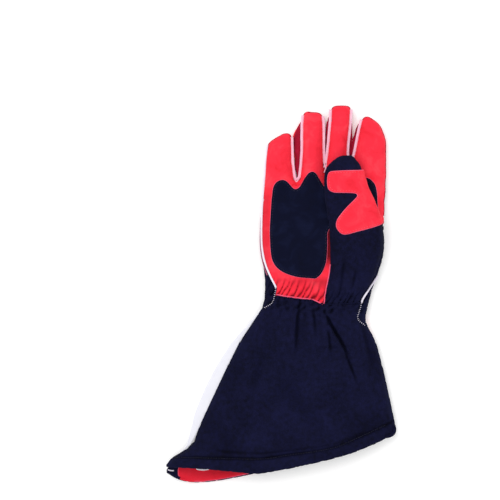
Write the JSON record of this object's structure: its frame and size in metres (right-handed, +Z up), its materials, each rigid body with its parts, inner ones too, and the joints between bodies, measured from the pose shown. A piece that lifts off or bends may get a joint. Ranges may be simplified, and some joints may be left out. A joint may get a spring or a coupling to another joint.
{
  "type": "gauntlet racing glove for the right hand",
  "caption": "Hollow gauntlet racing glove lying palm up, knit shell with sewn suede panels, gathered wrist and flared open cuff.",
  "frame": {"origin": "under the middle of the glove's outline, on the surface that it rests on", "axes": "+Z up out of the palm, +Y from the cuff towards the fingertips, +X towards the thumb side"},
  "size_m": [0.2426, 0.3958, 0.0389],
  "materials": {
    "navy_knit": "matt navy double knit with a fine pebbled surface",
    "red_suede": "matt brushed red suede with paler cut edges",
    "dark_suede": "matt near-black navy suede",
    "label_weave": "plain woven satin label with no print",
    "white_tape": "white woven binding tape with no print"
  },
  "bodies": {
    "root": {"back_panel": "navy_knit", "gauntlet_palm": "navy_knit", "thumb_front": "navy_knit", "thumb_underside": "navy_knit", "palm_panel": "red_suede", "side_wall_little_ring": "red_suede", "side_wall_ring_middle": "red_suede", "side_wall_middle_index": "red_suede", "thumb_patch": "red_suede", "knuckle_panel": "red_suede", "back_stripe": "red_suede", "palm_pad": "dark_suede", "blank_label": "label_weave", "inside_tag": "label_weave", "side_binding": "white_tape"}
  },
  "joints": []
}
